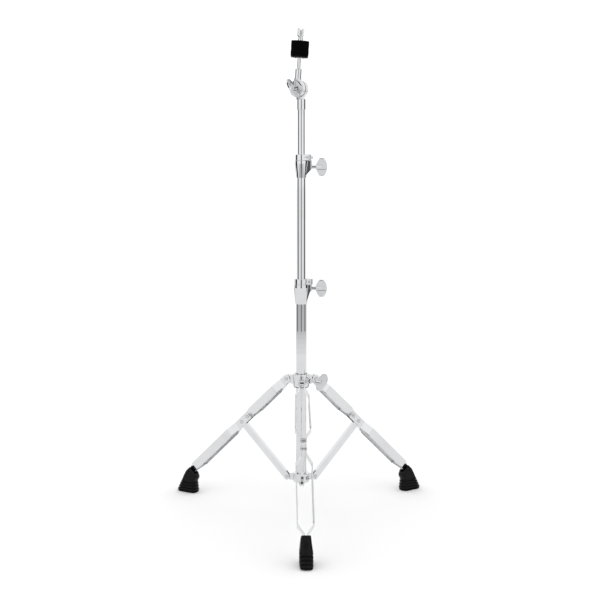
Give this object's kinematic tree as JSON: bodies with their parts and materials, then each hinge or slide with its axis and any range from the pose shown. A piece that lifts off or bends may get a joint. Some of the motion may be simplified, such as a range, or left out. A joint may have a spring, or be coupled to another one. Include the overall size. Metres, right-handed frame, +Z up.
{
  "type": "cymbal stand",
  "caption": "Straight cymbal stand: double-braced folding tripod, telescoping chrome tubes with wing-bolt clamps, tilter and felted cymbal rod.",
  "frame": {"origin": "on the tube axis at floor level", "axes": "+Z up along the tubes, -Y along the front leg"},
  "size_m": [0.6568, 0.5689, 1.1773],
  "materials": {
    "chrome_tube": "polished chrome on steel tube",
    "chrome_casting": "polished chrome on die casting",
    "chrome_strip": "chrome on pressed steel strip",
    "chrome_hardware": "chrome on forged and cast hardware",
    "rivet_steel": "plated rivet",
    "steel_screw": "plated screw",
    "nylon_bush": "moulded nylon",
    "black_plastic": "moulded, slightly satin",
    "rubber_foot": "moulded black rubber",
    "black_felt": "pressed wool felt"
  },
  "bodies": {
    "base": {"base_tube": "chrome_tube", "base_plug": "black_plastic", "brace_bracket": "chrome_casting", "bracket_screw": "steel_screw", "lower_clamp": "chrome_casting", "lower_clamp_bush": "nylon_bush"},
    "front_brace": {"brace_front": "chrome_strip", "bracket_pin_front": "rivet_steel"},
    "front_leg": {"leg_strip_a_front": "chrome_strip", "leg_strip_b_front": "chrome_strip", "crown_pin_front": "rivet_steel", "brace_pin_front": "rivet_steel", "leg_spacer_front": "rivet_steel", "foot_front": "rubber_foot"},
    "right_brace": {"brace_right": "chrome_strip", "bracket_pin_right": "rivet_steel"},
    "right_leg": {"leg_strip_a_right": "chrome_strip", "leg_strip_b_right": "chrome_strip", "crown_pin_right": "rivet_steel", "brace_pin_right": "rivet_steel", "leg_spacer_right": "rivet_steel", "foot_right": "rubber_foot"},
    "left_brace": {"brace_left": "chrome_strip", "bracket_pin_left": "rivet_steel"},
    "left_leg": {"leg_strip_a_left": "chrome_strip", "leg_strip_b_left": "chrome_strip", "crown_pin_left": "rivet_steel", "brace_pin_left": "rivet_steel", "leg_spacer_left": "rivet_steel", "foot_left": "rubber_foot"},
    "crown_slider": {"crown": "chrome_casting", "crown_bush": "nylon_bush"},
    "crown_bolt": {"crown_wing_bolt": "chrome_hardware"},
    "lower_bolt": {"lower_wing_bolt": "chrome_hardware"},
    "lower_lock": {"lower_memory_lock": "chrome_casting"},
    "lower_key": {"lower_key_bolt": "steel_screw"},
    "middle_stage": {"middle_tube": "chrome_tube", "upper_clamp": "chrome_casting", "upper_clamp_bush": "nylon_bush"},
    "upper_bolt": {"upper_wing_bolt": "chrome_hardware"},
    "upper_lock": {"upper_memory_lock": "chrome_casting"},
    "upper_key": {"upper_key_bolt": "steel_screw"},
    "upper_stage": {"upper_tube": "chrome_tube", "tilter_base": "chrome_casting", "tilter_nut": "chrome_hardware"},
    "tilter_bolt": {"tilter_wing_bolt": "chrome_hardware"},
    "head": {"tilter_head": "chrome_casting", "cymbal_rod": "chrome_hardware", "seat_washer": "chrome_hardware", "cymbal_seat": "black_plastic", "lower_felt": "black_felt"},
    "top_felt": {"upper_felt": "black_felt"},
    "top_nut": {"wing_nut": "chrome_hardware"}
  },
  "joints": [
    {"name": "fold", "type": "hinge", "parent": "base", "child": "front_brace", "pos_m": [0, -0.039, 0.08607], "axis": [-1, 0, 0], "range_deg": [0, 40]},
    {"name": "front_leg_fold", "type": "hinge", "parent": "front_brace", "child": "front_leg", "pos_m": [0, -0.16942, 0.21158], "axis": [1, 0, 0], "range_deg": [0, 80]},
    {"name": "right_brace_fold", "type": "hinge", "parent": "base", "child": "right_brace", "pos_m": [0.03377, 0.0195, 0.08607], "axis": [0.5, -0.866, 0], "range_deg": [0, 40]},
    {"name": "right_leg_fold", "type": "hinge", "parent": "right_brace", "child": "right_leg", "pos_m": [0.14672, 0.08471, 0.21158], "axis": [-0.5, 0.866, 0], "range_deg": [0, 80]},
    {"name": "left_brace_fold", "type": "hinge", "parent": "base", "child": "left_brace", "pos_m": [-0.03377, 0.0195, 0.08607], "axis": [0.5, 0.866, 0], "range_deg": [0, 40]},
    {"name": "left_leg_fold", "type": "hinge", "parent": "left_brace", "child": "left_leg", "pos_m": [-0.14672, 0.08471, 0.21158], "axis": [-0.5, -0.866, 0], "range_deg": [0, 80]},
    {"name": "crown_slide_fold", "type": "hinge", "parent": "front_leg", "child": "crown_slider", "pos_m": [0, -0.039, 0.33708], "axis": [-1, 0, 0], "range_deg": [0, 40]},
    {"name": "crown_bolt_turn", "type": "hinge", "parent": "crown_slider", "child": "crown_bolt", "pos_m": [0, 0, 0.33708], "axis": [0.866, -0.5, 0], "continuous": true},
    {"name": "lower_bolt_turn", "type": "hinge", "parent": "base", "child": "lower_bolt", "pos_m": [0, 0, 0.56487], "axis": [0.9986, -0.0523, 0], "continuous": true},
    {"name": "lower_swivel", "type": "hinge", "parent": "base", "child": "lower_lock", "pos_m": [0, 0, 0.58167], "axis": [0, 0, 1], "continuous": true},
    {"name": "lower_key_turn", "type": "hinge", "parent": "lower_lock", "child": "lower_key", "pos_m": [0.02078, -0.00756, 0.58167], "axis": [0.342, 0.9397, 0], "continuous": true},
    {"name": "middle_slide", "type": "slide", "parent": "lower_lock", "child": "middle_stage", "axis": [0, 0, 1], "range_m": [-0.235, 0.15]},
    {"name": "upper_bolt_turn", "type": "hinge", "parent": "middle_stage", "child": "upper_bolt", "pos_m": [0, 0, 0.85697], "axis": [0.9986, -0.0523, 0], "continuous": true},
    {"name": "upper_swivel", "type": "hinge", "parent": "middle_stage", "child": "upper_lock", "pos_m": [0, 0, 0.87967], "axis": [0, 0, 1], "continuous": true},
    {"name": "upper_key_turn", "type": "hinge", "parent": "upper_lock", "child": "upper_key", "pos_m": [0.01681, -0.01177, 0.87967], "axis": [0.5736, 0.8192, 0], "continuous": true},
    {"name": "upper_slide", "type": "slide", "parent": "upper_lock", "child": "upper_stage", "axis": [0, 0, 1], "range_m": [-0.1, 0.27]},
    {"name": "tilter_bolt_turn", "type": "hinge", "parent": "upper_stage", "child": "tilter_bolt", "pos_m": [0, 0, 1.04017], "axis": [-0.6157, -0.788, 0], "continuous": true},
    {"name": "tilt", "type": "hinge", "parent": "upper_stage", "child": "head", "pos_m": [0, 0, 1.04017], "axis": [-0.6157, -0.788, 0], "range_deg": [-85.4, 94.6]},
    {"name": "nut_lift", "type": "slide", "parent": "head", "child": "top_felt", "axis": [0.0632, -0.0494, 0.9968], "range_m": [0, 0.012]},
    {"name": "nut_turn", "type": "hinge", "parent": "top_felt", "child": "top_nut", "pos_m": [-0.00283, -0.01784, 1.14892], "axis": [0.0632, -0.0494, 0.9968], "continuous": true}
  ],
  "couplings": [
    {"joint": "front_leg_fold", "follows": "fold", "ratio": 2},
    {"joint": "right_brace_fold", "follows": "fold", "ratio": 1},
    {"joint": "right_leg_fold", "follows": "fold", "ratio": 2},
    {"joint": "left_brace_fold", "follows": "fold", "ratio": 1},
    {"joint": "left_leg_fold", "follows": "fold", "ratio": 2},
    {"joint": "crown_slide_fold", "follows": "fold", "ratio": 1}
  ]
}
